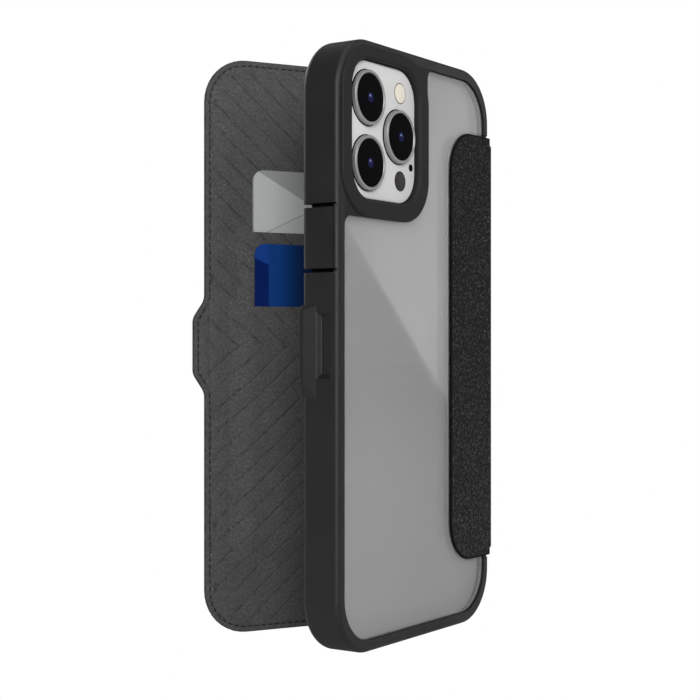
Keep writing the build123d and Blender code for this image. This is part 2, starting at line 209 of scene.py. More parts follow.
def inset(outline, depth):
    """Runs of an outline moved inwards, without the stretches that would fold over."""
    count = len(outline)
    moved = []
    for i in range(count):
        along = (outline[(i + 1) % count] - outline[i - 1]).normalized()
        moved.append(outline[i] + Vector((-along.y, along.x)) * depth)
    true_depth = inside_depth(outline, as_array(moved))
    good = true_depth > depth - 0.02
    if good.all():
        return [moved + moved[:1]]
    runs = [[]]
    first = int(np.argmin(good))
    for i in range(first, first + count):
        if good[i % count]:
            runs[-1].append(moved[i % count])
        elif runs[-1]:
            runs.append([])
    return [run for run in runs if len(run) > 1]


def smooth(low, high, value):
    t = np.clip((value - low) / (high - low), 0, 1)
    return t * t * (3 - 2 * t)


# ---------------------------------------------------------------- sheets

class Fold:
    """A sheet that comes along one direction and turns left to another round a corner.

    place(x, h, z): x is measured from the corner along the second direction."""

    def __init__(self, corner, first, second, radius):
        self.corner = Vector(corner)
        self.first = first
        self.second = second
        self.radius = radius
        turn = second - first
        self.reach = radius * math.tan(turn / 2)
        self.arc = radius * turn

    def back(self, distance):
        """The x of a point that far from the corner, before the turn."""
        return 2 * self.reach - self.arc - distance

    def frame(self, x):
        """Middle-line point and direction angle at x."""
        if x >= self.reach:
            way = Vector((math.cos(self.second), math.sin(self.second)))
            return self.corner + way * x, self.second
        way = Vector((math.cos(self.first), math.sin(self.first)))
        if x <= self.reach - self.arc:
            return self.corner - way * (2 * self.reach - self.arc - x), self.first
        angle = self.second - (self.reach - x) / self.radius
        start = self.corner - way * self.reach
        centre = start + Vector((-way.y, way.x)) * self.radius
        return centre + Vector((math.sin(angle), -math.cos(angle))) * self.radius, angle

    def place(self, x, h, z):
        point, angle = self.frame(x)
        inward = Vector((-math.sin(angle), math.cos(angle)))
        flat = point + inward * h
        return Vector((flat.x, flat.y, z)) * MM


def triangulate(outline, depths, lines, keep):
    """Triangles inside an outline, with rows at some depths and along some lines."""
    runs = [list(outline) + [outline[0]]]
    for depth in depths:
        runs += inset(outline, depth)
    runs += lines
    points, edges, seen = [], [], {}
    for run in runs:
        previous = None
        for p in run:
            key = (round(p[0], 3), round(p[1], 3))
            if key not in seen:
                seen[key] = len(points)
                points.append(Vector(key))
            if previous is not None and previous != seen[key]:
                edges.append((previous, seen[key]))
            previous = seen[key]
    verts, _, faces, *_ = delaunay_2d_cdt(points, edges, [], 0, 1e-4)
    flat = as_array(verts)
    faces = np.array(faces)
    middles = flat[faces].mean(axis=1)
    good = (inside_depth(outline, middles) > 0) & keep(middles)
    faces = faces[good]
    used = np.unique(faces)
    index = np.full(len(flat), -1)
    index[used] = np.arange(len(used))
    return flat[used], index[faces]


def solid_sheet(name, flat, faces, front, back, fold, dark=None):
    """A closed mesh with its front and back at two heights over the same triangles."""
    count = len(flat)
    heights = (front(flat), back(flat))
    verts = [fold.place(x, h, z) for side in heights for (x, z), h in zip(flat, side)]
    sides = {}
    for face in faces:
        for a, b in zip(face, np.roll(face, -1)):
            sides[(int(a), int(b))] = True
    rim = [(a, b, b + count, a + count) for a, b in sides if (b, a) not in sides]
    lids = [tuple(int(v) for v in face) for face in faces]
    lids += [tuple(int(v) + count for v in reversed(face)) for face in faces]
    mesh = bpy.data.meshes.new(name)
    mesh.from_pydata(verts, [], lids + rim)
    add_map(mesh, np.vstack([flat, flat]))
    if dark is not None:
        layer = mesh.attributes.new("dark", "FLOAT", "POINT")
        layer.data.foreach_set("value", np.tile(dark(flat), 2).astype(np.float32))
    return finished(name, mesh)


def add_map(mesh, flat):
    """A map of the flat sheet, 100 mm to one unit, that stays put when the sheet folds."""
    layer = mesh.uv_layers.new(name="flat")
    corner = np.zeros(len(mesh.loops), int)
    mesh.loops.foreach_get("vertex_index", corner)
    layer.data.foreach_set("uv", (flat[corner] / 100).ravel().astype(np.float32))


def finished(name, mesh, smooth_angle=40):
    """An object from a mesh, with its faces turned outwards and its sharp edges kept."""
    work = bmesh.new()
    work.from_mesh(mesh)
    bmesh.ops.remove_doubles(work, verts=work.verts, dist=1e-7)
    bmesh.ops.recalc_face_normals(work, faces=work.faces)
    work.to_mesh(mesh)
    work.free()
    mesh.validate()
    mesh.shade_smooth()
    mesh.set_sharp_from_angle(angle=math.radians(smooth_angle))
    piece = bpy.data.objects.new(name, mesh)
    bpy.context.scene.collection.objects.link(piece)
    return piece


def edge_drop(depth, radius):
    """How far a sheet's face falls towards its cut edge."""
    t = np.clip(1 - depth / radius, 0, 1)
    return radius * (1 - np.sqrt(1 - t * t))


# ---------------------------------------------------------------- quilting

QUILT_PITCH = 6.4            # along z
QUILT_SLOPE = 0.88           # rise of a channel for each mm away from the hinge
QUILT_ROWS = (-2.0, -0.9, -0.45, -0.22, 0.0, 0.22, 0.45, 0.9, 2.0, 3.2)
QUILT_DEPTH = 0.2
PILLOW_SINK = 0.06           # lower next to a channel than halfway between two
QUILT_WIDTH = 0.3
QUILT_START = 2.2            # depth inside the seam where it begins


def quilt_lines(x_range, z_top, keep, column=2.2):
    """V-shaped rows along the channels, pointing at the hinge."""
    columns = np.arange(x_range[0], x_range[1] + column, column)
    low = math.floor(-QUILT_SLOPE * x_range[1] / QUILT_PITCH)
    high = math.ceil((z_top - QUILT_SLOPE * x_range[0]) / QUILT_PITCH)
    lines = []
    for k in range(low, high + 1):
        for step in QUILT_ROWS:
            start = k * QUILT_PITCH + step
            apex = -start / QUILT_SLOPE
            beyond = [x for x in columns if x > apex + 0.4]
            upper = [(x, start + QUILT_SLOPE * x) for x in reversed(beyond)]
            lower = [(x, -z) for x, z in reversed(upper)]
            middle = [(apex, 0.0)] if x_range[0] < apex < x_range[1] else []
            row = upper + middle + lower
            if not row:
                continue
            good = keep(np.array(row))
            run = []
            for point, fine in zip(row, good):
                if fine:
                    run.append(Vector(point))
                    continue
                if len(run) > 1:
                    lines.append(run)
                run = []
            if len(run) > 1:
                lines.append(run)
    return lines


def channel(flat):
    """1 in the middle of a quilting channel, 0 between channels, broken up by wear."""
    start = np.abs(flat[:, 1]) - QUILT_SLOPE * flat[:, 0]
    off = np.abs((start / QUILT_PITCH + 0.5) % 1 - 0.5) * QUILT_PITCH
    wear = np.array([noise.noise(Vector((x * 0.22, z * 0.22, 3.0))) for x, z in flat])
    return np.exp(-(off / QUILT_WIDTH) ** 2) * np.clip(0.72 + 0.75 * wear, 0.15, 1.1)


def pillow(flat):
    """The slight crown between channels, 0 at a channel and 1 halfway."""
    start = np.abs(flat[:, 1]) - QUILT_SLOPE * flat[:, 0]
    off = np.abs((start / QUILT_PITCH + 0.5) % 1 - 0.5) * 2
    return 1 - (1 - off) ** 3


# ---------------------------------------------------------------- outlines of this object

TAB_HALF_NECK = 13.4
TAB_HALF_TIP = 8.0
NOTCH_HALF = TAB_HALF_NECK + 3    # where the tab's skins end at the cover's edge
TAB_CREASE_X = TAB_LOW[0] - 0.15
TAB_ROOT_ROUND = 5.0
TAB_TIP_ROUND = 4.2


def with_tab(start_corners, start_radii):
    """An outline whose far edge carries the tab; the near side is given."""
    edge = LINING_HIGH[0]
    half = LINING_HIGH[2]
    tip = TAB_HIGH[0]
    far = [(edge, -half), (edge, -TAB_HALF_NECK), (tip, -TAB_HALF_TIP),
           (tip, TAB_HALF_TIP), (edge, TAB_HALF_NECK), (edge, half)]
    radii = [COVER_CORNER, TAB_ROOT_ROUND, TAB_TIP_ROUND, TAB_TIP_ROUND, TAB_ROOT_ROUND,
             COVER_CORNER]
    return rounded(far + start_corners, radii + start_radii)


NEAR_EDGE = LINING_LOW[0]
COVER_HALF = LINING_HIGH[2]
SEAM_LOOP = with_tab([(NEAR_EDGE, COVER_HALF), (NEAR_EDGE, -COVER_HALF)],
                     [COVER_CORNER, COVER_CORNER])


def seam_depth(flat):
    return inside_depth(SEAM_LOOP, flat)


FOLD_RADIUS = 1.2
FRONT_FOLD = Fold(COVER_HINGE, math.pi / 2, OPEN_ANGLE, FOLD_RADIUS)
HALF_LEATHER = 0.4
BACK_CORNER = (SPINE_HIGH.x - HALF_LEATHER, (FLAP_LOW.y + FLAP_HIGH.y) / 2)
BACK_FOLD = Fold(BACK_CORNER, 0.0, math.pi / 2, FOLD_RADIUS)
SPINE_END_X = FRONT_FOLD.back(COVER_HINGE.y - SPINE_LOW.y)
SPINE_MIDDLE_X = FRONT_FOLD.back(COVER_HINGE.y - SPINE_MIDDLE_Y)
BACK_BLEND = (1.0, 1.5)
NOTCH_ROUND = 1.5
CLOTH = with_tab([(NEAR_EDGE, COVER_HALF), (NEAR_EDGE, SPINE_HALF), (SPINE_END_X, SPINE_HALF),
                  (SPINE_END_X, -SPINE_HALF), (NEAR_EDGE, -SPINE_HALF),
                  (NEAR_EDGE, -COVER_HALF)],
                 [COVER_CORNER, NOTCH_ROUND, 0, 0, NOTCH_ROUND, COVER_CORNER])


def cloth_depth(flat):
    return inside_depth(CLOTH, flat)


EDGE_ROWS = (0.12, 0.3, 0.6, 1.0, 1.3, 1.6, 1.9, 2.3, 3.0)
LEATHER_ROWS = (0.12, 0.3, 0.6, 1.0, 1.3, 1.6, 1.9, 2.4, 3.0, 3.3, 4.2, 5.2)


def in_cover(flat):
    """Not in the tab and not in its notch."""
    notch = (flat[:, 0] > TAB_CREASE_X) & (np.abs(flat[:, 1]) < NOTCH_HALF)
    return ~notch


def in_tab(flat):
    return ~in_cover(flat)


TAB_BEND = 1.8               # the width of tab that bends at the crease
CREASE_Z = (-18, 18.1, 2.0)   # lowest, end and step of its points
CREASE = upright(TAB_CREASE_X, *CREASE_Z)
BEND_LINES = [upright(TAB_CREASE_X + x, *CREASE_Z) for x in (0.45, 0.9, 1.35, TAB_BEND)]
CREASE_ENDS = [[Vector((TAB_CREASE_X, side * NOTCH_HALF)),
                Vector((LINING_HIGH[0], side * NOTCH_HALF))] for side in (-1, 1)]
FOLD_COLUMNS = [upright(x, -SPINE_HALF + 1, SPINE_HALF, 3.0)
                for x in np.linspace(FRONT_FOLD.reach - FRONT_FOLD.arc - 2.4,
                                     FRONT_FOLD.reach + 2.4, 15)]


# ---------------------------------------------------------------- lining

SPINE_LINING_H = COVER_HINGE.x - SPINE_INNER_X
LINING_BACK = LINING_LOW[1]
LINING_FACE = LINING_HIGH[1]


def on_spine(flat):
    """1 on the spine, 0 on the cover, smooth between."""
    return 1 - smooth(-1.5, 1.5, flat[:, 0])


def seam_groove(flat):
    return np.exp(-((seam_depth(flat) - SEAM_INSET) / 0.35) ** 2)


def quilted(flat):
    """How strongly the quilting shows: none on the spine or outside the seam."""
    return smooth(SEAM_INSET, QUILT_START, seam_depth(flat))


def crease_mark(flat):
    """The tab's crease: where the sheets dip in a narrow valley, across the tab's neck and a
    little beyond.
    """
    near = np.abs(flat[:, 1]) < TAB_HALF_NECK + 3.5
    return np.exp(-((flat[:, 0] - TAB_CREASE_X) / 0.25) ** 2) * near


def lining_front(flat):
    face = LINING_FACE + (SPINE_LINING_H - LINING_FACE) * on_spine(flat)
    quilt = quilted(flat) * (QUILT_DEPTH * channel(flat) + PILLOW_SINK * (1 - pillow(flat)))
    return face - quilt - 0.2 * seam_groove(flat) - edge_drop(cloth_depth(flat), 0.3) \
        - 0.12 * crease_mark(flat)


def lining_back(flat):
    return LINING_BACK + (SPINE_LINING_H - 0.4 - LINING_BACK) * on_spine(flat)


def lining_dark(flat):
    """Painted shade in the quilting channels and along the seam groove, plus the dark edge paint
    on the cut edge.
    """
    edge = 1 - smooth(0.12, 0.4, cloth_depth(flat))
    return np.clip(0.8 * quilted(flat) * channel(flat) + 0.35 * seam_groove(flat) + edge, 0, 1)


def away_from_edge(outline, margin, extra=None):
    """A test for points well inside an outline."""
    def keep(flat):
        good = inside_depth(outline, flat) > margin
        return good if extra is None else good & extra(flat)
    return keep


def make_lining(material):
    pieces = []
    for name, keep, fold_lines in (("cover_lining_quilted", in_cover, FOLD_COLUMNS),
                                   ("tab_lining_quilted", in_tab, [])):
        room = away_from_edge(CLOTH, EDGE_ROWS[-1] + 0.3,
                              lambda flat: (seam_depth(flat) > 2.6) & (flat[:, 0] > 3.6))
        lines = quilt_lines((2.0, TAB_HIGH[0]), COVER_HALF, room)
        seam_rows = [run for depth in (1.3, 1.6, 1.9, 2.3) for run in inset(SEAM_LOOP, depth)]
        flat, faces = triangulate(CLOTH, EDGE_ROWS,
                                  lines + seam_rows + [CREASE] + BEND_LINES + CREASE_ENDS
                                  + fold_lines,
                                  keep)
        piece = solid_sheet(name, flat, faces, lining_front, lining_back, FRONT_FOLD,
                            lining_dark)
        piece.data.materials.append(material)
        pieces.append(piece)
    cover, tab = pieces
    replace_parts(cover, "cover_lining", "spine_lining")
    blend_front(cover)
    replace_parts(tab, "tab_lining")
    blend_tab(tab)
    declare(CLOTH)


def blend_front(piece):
    """Bakes the piece's place into its mesh; it does not bend it."""
    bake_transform(piece)


def blend_tab(piece):
    """Bakes the tab piece's place into its mesh; it does not bend it."""
    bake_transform(piece)


def outline_area(outline):
    a = as_array(outline)
    b = np.roll(a, -1, axis=0)
    return abs(np.sum(a[:, 0] * b[:, 1] - b[:, 0] * a[:, 1])) / 2


def declare(outline):
    """Works out the flat area of an outline, in square metres, and keeps nothing."""
    a = as_array(outline)
    float(outline_area(outline)) * MM * MM


# ---------------------------------------------------------------- leather

LEATHER = FLAP_HIGH.y - FLAP_LOW.y
SPINE_OUTER_H = COVER_HINGE.x - SPINE_HIGH.x
SEAM_OUTER_H = LINING_BACK - LEATHER
RAISED_H = COVER_LOW[1]
BOARD_BACK_H = BOARD_LOW[1]
MAGNET_LOW, MAGNET_HIGH = cover_span("tab_magnet")


def cover_raise(flat):
    """0 in the flat seam band round the cover, 1 over the board."""
    rectangle = inside_depth(COVER_BOX, flat)
    return smooth(2.5, 4.6, rectangle)


COVER_BOX = rounded([(COVER_LOW[0], -COVER_HALF), (LINING_HIGH[0], -COVER_HALF),
                     (LINING_HIGH[0], COVER_HALF), (COVER_LOW[0], COVER_HALF)],
                    [COVER_CORNER] * 4)


def leather_outer(flat):
    seam = SEAM_OUTER_H + (SPINE_OUTER_H - SEAM_OUTER_H) * on_spine(flat)
    height = seam + (RAISED_H - SEAM_OUTER_H) * cover_raise(flat)
    return height + 0.15 * seam_groove(flat) + edge_drop(cloth_depth(flat), 0.45) \
        + 0.1 * crease_mark(flat)


def leather_inner(flat):
    spine = SPINE_OUTER_H + LEATHER
    height = LINING_BACK + (spine - LINING_BACK) * on_spine(flat)
    pan = inside_depth(COVER_BOX, flat) > 3.0 - 0.02
    height = np.where(pan & (flat[:, 0] > NEAR_EDGE), BOARD_BACK_H, height)
    return height - edge_drop(cloth_depth(flat), 0.2)


def tab_outer(flat):
    """The tab's leather, with the magnet's outline pressed through it."""
    over = np.minimum.reduce([flat[:, 0] - MAGNET_LOW[0] + 0.1, MAGNET_HIGH[0] - flat[:, 0] + 0.1,
                              MAGNET_HIGH[2] - np.abs(flat[:, 1])])
    lump = smooth(-0.9, 0.3, over)
    return leather_outer(flat) - (SEAM_OUTER_H - BUMP_LOW[1]) * lump * smooth(
        0.2, 1.2, cloth_depth(flat))


def tab_inner(flat):
    """Hollow over the magnet, which fills the space between leather and lining."""
    inside = (flat[:, 0] > MAGNET_LOW[0] - 0.06) & (flat[:, 0] < MAGNET_HIGH[0] + 0.06) \
        & (np.abs(flat[:, 1]) < MAGNET_HIGH[2] + 0.06)
    return np.where(inside, MAGNET_LOW[1], LINING_BACK)


def grid_lines(x_range, z_range, step, keep):
    """Rows of points that give a plain sheet an even mesh."""
    columns = np.arange(x_range[0], x_range[1], step)
    lines = []
    for z in np.arange(z_range[0], z_range[1], step):
        row = np.array([(x, z) for x in columns])
        run = [Vector(p) for p, good in zip(row, keep(row)) if good]
        if len(run) > 1:
            lines.append(run)
    return lines


def leather_dark(flat):
    # Painted shade in the seam groove, and the dark edge paint on the cut edge.
    edge = 1 - smooth(0.1, 0.5, cloth_depth(flat))
    return np.clip(0.5 * seam_groove(flat) + edge, 0, 1)


def make_front_leather(material):
    for name, outer, inner, test, body in (
            ("cover_leather_grained", leather_outer, leather_inner, in_cover, None),
            ("tab_leather_grained", tab_outer, tab_inner, in_tab, "tab")):
        room = away_from_edge(CLOTH, 5.6, lambda flat: (seam_depth(flat) > 5.4)
                              & (flat[:, 0] > 7.2))
        lines = grid_lines((6, TAB_HIGH[0]), (-COVER_HALF, COVER_HALF), 3.0, room)
        seam_rows = [run for depth in LEATHER_ROWS[4:] for run in inset(COVER_BOX, depth)]
        magnet = [(MAGNET_LOW[0] - g, MAGNET_HIGH[0] + g, MAGNET_HIGH[2] + g)
                  for g in (-0.3, 0.05, 0.08, 0.5, 0.9)]
        rings = [[Vector(p) for p in ((a, -c), (b, -c), (b, c), (a, c), (a, -c))]
                 for a, b, c in magnet]
        middle = [[Vector((SPINE_MIDDLE_X, z)) for z in (-SPINE_HALF, SPINE_HALF)]]
        extra = rings if body else FOLD_COLUMNS + middle
        flat, faces = triangulate(
            CLOTH, LEATHER_ROWS[:4] if body else LEATHER_ROWS,
            lines + (seam_rows if not body else []) + [CREASE] + BEND_LINES + CREASE_ENDS
            + extra,
            lambda p, test=test: test(p) & (p[:, 0] > SPINE_MIDDLE_X))
        piece = solid_sheet(name, flat, faces, outer, inner, FRONT_FOLD, leather_dark)
        piece.data.materials.append(material)
        if body:
            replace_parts(piece, "tab_leather")
            blend_tab(piece)
            continue
        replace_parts(piece, "cover_leather")
        blend_front(piece)
        declare([p for p in CLOTH if p.x > SPINE_MIDDLE_X])


FLAP_START = FLAP_LOW.x - BACK_CORNER[0] + 2 * BACK_FOLD.reach - BACK_FOLD.arc
FLAP_END = SPINE_MIDDLE_Y - BACK_CORNER[1]
FLAP = rounded([(FLAP_START, -SPINE_HALF), (FLAP_END + 8, -SPINE_HALF),
                (FLAP_END + 8, SPINE_HALF), (FLAP_START, SPINE_HALF)],
               [FLAP_CORNER, 0, 0, FLAP_CORNER])


def flap_depth(flat):
    return inside_depth(FLAP, flat)


def make_back_leather(material):
    """The flap on the back, the crease and half of the spine, in one sheet."""
    room = away_from_edge(FLAP, 2.4)
    lines = grid_lines((FLAP_START + 1, FLAP_END + 8), (-SPINE_HALF, SPINE_HALF), 2.5, room)
    creases = [upright(x, -SPINE_HALF + 2.5, SPINE_HALF - 2, 3.0)
               for x in np.linspace(BACK_FOLD.reach - BACK_FOLD.arc - 1.5,
                                    BACK_FOLD.reach + 1.5, 13)]
    end = [[Vector((FLAP_END, z)) for z in (-SPINE_HALF, SPINE_HALF)]]
    flat, faces = triangulate(FLAP, (0.12, 0.3, 0.6, 1.0, 1.6, 2.2), lines + creases + end,
                              lambda p: p[:, 0] < FLAP_END)
    half = LEATHER / 2
    # The last function darkens the flap's outer 0.9 mm: dark edge paint on the cut edge and a
    # painted shadow of the step that the flap sits in.
    piece = solid_sheet(
        "flap_leather_grained", flat, faces,
        lambda p: edge_drop(flap_depth(p), 0.45) - half,
        lambda p: half - edge_drop(flap_depth(p), 0.2), BACK_FOLD,
        lambda p: 1 - smooth(0.4, 0.9, flap_depth(p)))
    piece.data.materials.append(material)
    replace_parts(piece, "flap_leather", "spine_leather")
    hinge = joint_point("spine_fold")
    way = Vector((1, 1)).normalized()
    end = hinge + way * BACK_BLEND[1]
    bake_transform(piece)
    declare([Vector((min(p.x, FLAP_END), p.y)) for p in FLAP])


# ---------------------------------------------------------------- card pockets

SLOT_MARGIN = 1.3            # how far a slot runs past the card's edge
CORE_MARGIN = 0.4            # how far a pouch's raised core does
CARD_ROOM = 0.04             # between a pouch's inside and the card's front
CARD_BEHIND = 0.06           # between the upper pouch's front and the card over it
ABOVE_SOFTNESS = 2.2         # the pouch fades this much faster above its mouth


class Pocket:
    """A pouch in the lining: a core over the card, fading into the lining round it."""

    def __init__(self, name, low, high, face, under, card_low, card_high, fade, base):
        self.name = name
        self.core = (card_low[0] - CORE_MARGIN, card_high[0] + CORE_MARGIN)
        self.top = high[2]
        self.bottom = low[2]
        self.face = face
        self.under = under
        self.slot = (card_low[0] - SLOT_MARGIN, card_high[0] + SLOT_MARGIN)
        self.fade = fade
        self.base = base

    def outside(self, flat):
        """Distance outside the core, with the sides counted more softly."""
        across = np.maximum.reduce([self.core[0] - flat[:, 0], flat[:, 0] - self.core[1],
                                    np.zeros(len(flat))])
        below = np.maximum(self.bottom - flat[:, 1], 0)
        above = np.maximum(flat[:, 1] - self.top, 0) * ABOVE_SOFTNESS
        return np.hypot(across, np.hypot(below, above))

    def cover_share(self, flat):
        return 1 - smooth(0.0, self.fade, self.outside(flat))

    def front(self, flat):
        quilt = QUILT_DEPTH * channel(flat) + PILLOW_SINK * (1 - pillow(flat))
        rise = (self.face - self.base) * self.cover_share(flat)
        lip = np.where(self.across_slot(flat), edge_drop(np.abs(self.top - flat[:, 1]), 0.15), 0)
        sink = 0.12 * smooth(self.fade * 0.86, self.fade, self.outside(flat))
        return self.base + rise - quilt * quilted(flat) - lip - sink

    def back(self, flat):
        rise = (self.under - self.base) * (1 - smooth(0.0, self.fade * 0.8,
                                                      self.outside(flat)))
        return np.minimum(self.base - 0.3 + (rise + 0.3) * smooth(
            0.0, 0.4, rise), self.front(flat) - 0.12)

    def across_slot(self, flat):
        return (flat[:, 0] > self.slot[0]) & (flat[:, 0] < self.slot[1])

    def window(self, flat):
        return self.across_slot(flat) & (flat[:, 1] > self.top)

    def outline(self):
        low_x = self.core[0] - self.fade
        high_x = self.core[1] + self.fade
        low_z = self.bottom - self.fade
        high_z = self.top + self.fade / ABOVE_SOFTNESS
        return rounded([(low_x, low_z), (high_x, low_z), (high_x, high_z), (low_x, high_z)],
                       [self.fade + 1] * 2 + [2.0] * 2, step=1.8)

    def make(self, material):
        outline = self.outline()
        rows = [[Vector((x, z)) for x in np.arange(self.slot[0], self.slot[1] + 0.1, 1.5)]
                for z in (self.top, self.top - 0.08, self.top - 0.2, self.top - 0.6)]
        sides = [upright(x, self.top, self.top + 5, 0.6) for x in self.slot]
        columns = [upright(x, self.bottom - self.fade, self.top - 1, 2.0)
                   for edge, way in ((self.core[0], -1), (self.core[1], 1))
                   for x in edge + way * np.linspace(-0.6, self.fade * 0.9, 7)]
        room = away_from_edge(outline, 0.9, lambda p: ~self.near_rows(p))
        span = [p.x for p in outline]
        lines = quilt_lines((min(span) - 2, max(span) + 2), COVER_HALF, room, column=1.8)
        flat, faces = triangulate(outline, (0.3, 0.7), lines + rows + sides + columns,
                                  lambda p: ~self.window(p))
        piece = solid_sheet(self.name, flat, faces, self.front, self.back, FRONT_FOLD,
                            self.dark)
        piece.data.materials.append(material)
        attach(piece, "cover")
        declare(outline)
        return piece

    def near_rows(self, flat):
        return self.window(flat) | (np.abs(flat[:, 1] - self.top) < 0.75)

    def dark(self, flat):
        # Painted shade in the quilting channels and a painted shadow along the slot's mouth.
        mouth = (np.abs(flat[:, 1] - self.top) < 0.05) & self.across_slot(flat)
        return np.clip(0.8 * channel(flat) + 0.2 * mouth, 0, 1)


def make_pockets(material):
    divider = Pocket("pocket_divider_quilted", DIVIDER_LOW, DIVIDER_HIGH,
                     CARD_LOWER_LOW[1] - CARD_BEHIND, CARD_UPPER_HIGH[1] + CARD_ROOM,
                     CARD_UPPER_LOW, CARD_UPPER_HIGH, 5.0, LINING_FACE)
    panel = Pocket("pocket_panel_quilted", PANEL_LOW, PANEL_HIGH, PANEL_HIGH[1],
                   CARD_LOWER_HIGH[1] + CARD_ROOM, CARD_LOWER_LOW, CARD_LOWER_HIGH, 7.5,
                   LINING_FACE + 0.03)
    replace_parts(divider.make(material), "pocket_divider")
    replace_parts(panel.make(material), "pocket_panel")


# ---------------------------------------------------------------- stitches

STITCH_PITCH = 2.15
STITCH_LENGTH = 1.65
STITCH_WIDTH = 0.42
STITCH_SIDES = 8
STITCH_ON_LINING = 0.08      # a stitch's middle above the lining
STITCH_ON_LEATHER = 0.1      # and above the leather on the other side


def stitch_mesh(work, centre, along, across, up):
    """One stitch: a short arched capsule, its ends sinking into the cloth."""
    rings = []
    for a in (-1, -0.86, -0.5, 0, 0.5, 0.86, 1):
        thick = STITCH_WIDTH / 2 * math.sqrt(max(0.03, 1 - abs(a) ** 3))
        middle = centre + along * (a * STITCH_LENGTH / 2) - up * (0.16 * a * a)
        ring = []
        for k in range(STITCH_SIDES):
            angle = 2 * math.pi * k / STITCH_SIDES
            offset = across * math.cos(angle) + up * (0.75 * math.sin(angle))
            ring.append(work.verts.new((middle + offset * thick) * MM))
        rings.append(ring)
    for near, far in zip(rings, rings[1:]):
        for k in range(STITCH_SIDES):
            after = (k + 1) % STITCH_SIDES
            work.faces.new((near[k], near[after], far[after], far[k]))
    work.faces.new(list(reversed(rings[0])))
    work.faces.new(rings[-1])


def make_stitches(material):
    """Rows of stitches on the lining and the leather, all round the cover and the tab."""
    path = inset(SEAM_LOOP, SEAM_INSET)[0]
    lengths = np.cumsum([0] + [(b - a).length for a, b in zip(path, path[1:])])
    count = round(lengths[-1] / STITCH_PITCH)
    works = {"cover": bmesh.new(), "tab": bmesh.new()}
    for k in range(count):
        at = (k + 0.5) * lengths[-1] / count
        i = min(int(np.searchsorted(lengths, at)) - 1, len(path) - 2)
        way = (path[i + 1] - path[i]).normalized()
        spot = path[i] + way * (at - lengths[i])
        flat = as_array([spot])
        on_tab = bool(in_tab(flat)[0])
        if on_tab and spot.x < TAB_CREASE_X + STITCH_LENGTH / 2:
            continue
        outer = tab_outer if on_tab else leather_outer
        for height, side in ((float(lining_front(flat)[0]) + STITCH_ON_LINING, 1),
                             (float(outer(flat)[0]) - STITCH_ON_LEATHER, -1)):
            centre = FRONT_FOLD.place(spot.x, height, spot.y) / MM
            ahead = FRONT_FOLD.place(spot.x + way.x, height, spot.y + way.y) / MM
            along = (ahead - centre).normalized()
            up = Vector((COVER_IN.x, COVER_IN.y, 0)) * side
            stitch_mesh(works["tab" if on_tab else "cover"], centre, along, along.cross(up), up)
    for body, work in works.items():
        mesh = bpy.data.meshes.new(f"{body}_stitches")
        work.to_mesh(mesh)
        work.free()
        piece = finished(f"{body}_stitches", mesh, smooth_angle=60)
        piece.data.materials.append(material)
        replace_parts(piece, f"{body}_thread")
        if body == "tab":
            blend_tab(piece)
        else:
            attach(piece, body)


# ---------------------------------------------------------------- materials

def new_material(name, **values):
    """A Principled material; values are set on the shader's own sockets."""
    material = bpy.data.materials.new(name)
    material.use_nodes = True
    shader = material.node_tree.nodes["Principled BSDF"]
    for key, value in values.items():
        shader.inputs[key.replace("_", " ")].default_value = value
    return material, material.node_tree, shader


def add(tree, kind, inputs=None, **settings):
    """A node, its settings, and its inputs: a socket is linked and a value is set."""
    node = tree.nodes.new(kind)
    for key, value in settings.items():
        setattr(node, key, value)
    for key, value in (inputs or {}).items():
        if isinstance(value, bpy.types.NodeSocket):
            tree.links.new(value, node.inputs[key])
        else:
            node.inputs[key].default_value = value
    return node


def ramp(tree, factor, stops):
    """A colour ramp with (position, grey or colour) stops."""
    node = add(tree, "ShaderNodeValToRGB", {"Fac": factor})
    elements = node.color_ramp.elements
    while len(elements) < len(stops):
        elements.new(0.5)
    for element, (position, colour) in zip(elements, stops):
        element.position = position
        if isinstance(colour, (int, float)):
            colour = (colour,) * 3
        element.color = (*colour, 1)
    return node.outputs["Color"]


def wire(tree, shader, **sockets):
    """Links sockets to the shader's inputs of those names."""
    for key, socket in sockets.items():
        tree.links.new(socket, shader.inputs[key.replace("_", " ")])


def bump(tree, shader, height, strength, distance):
    node = add(tree, "ShaderNodeBump", {"Height": height, "Strength": strength,
                                        "Distance": distance})
    wire(tree, shader, Normal=node.outputs["Normal"])


def math_node(tree, operation, a, b=0.0, clamp=False):
    node = add(tree, "ShaderNodeMath", {0: a, 1: b}, operation=operation, use_clamp=clamp)
    return node.outputs["Value"]


def mixed(tree, factor, a, b, blend_type="MIX"):
    node = add(tree, "ShaderNodeMix", data_type="RGBA", blend_type=blend_type)
    for index, value in ((0, factor), (6, a), (7, b)):
        if isinstance(value, bpy.types.NodeSocket):
            tree.links.new(value, node.inputs[index])
        elif index:
            node.inputs[index].default_value = (*value, 1)
        else:
            node.inputs[index].default_value = value
    return node.outputs[2]


def noise_node(tree, place, scale, detail=3.0, roughness=0.55):
    return add(tree, "ShaderNodeTexNoise", {"Vector": place, "Scale": scale, "Detail": detail,
                                            "Roughness": roughness}).outputs["Fac"]


def flat_place(tree):
    """Coordinates of the flat sheet, in units of 100 mm."""
    return add(tree, "ShaderNodeUVMap", uv_map="flat").outputs["UV"]


def object_place(tree):
    return add(tree, "ShaderNodeTexCoord").outputs["Object"]


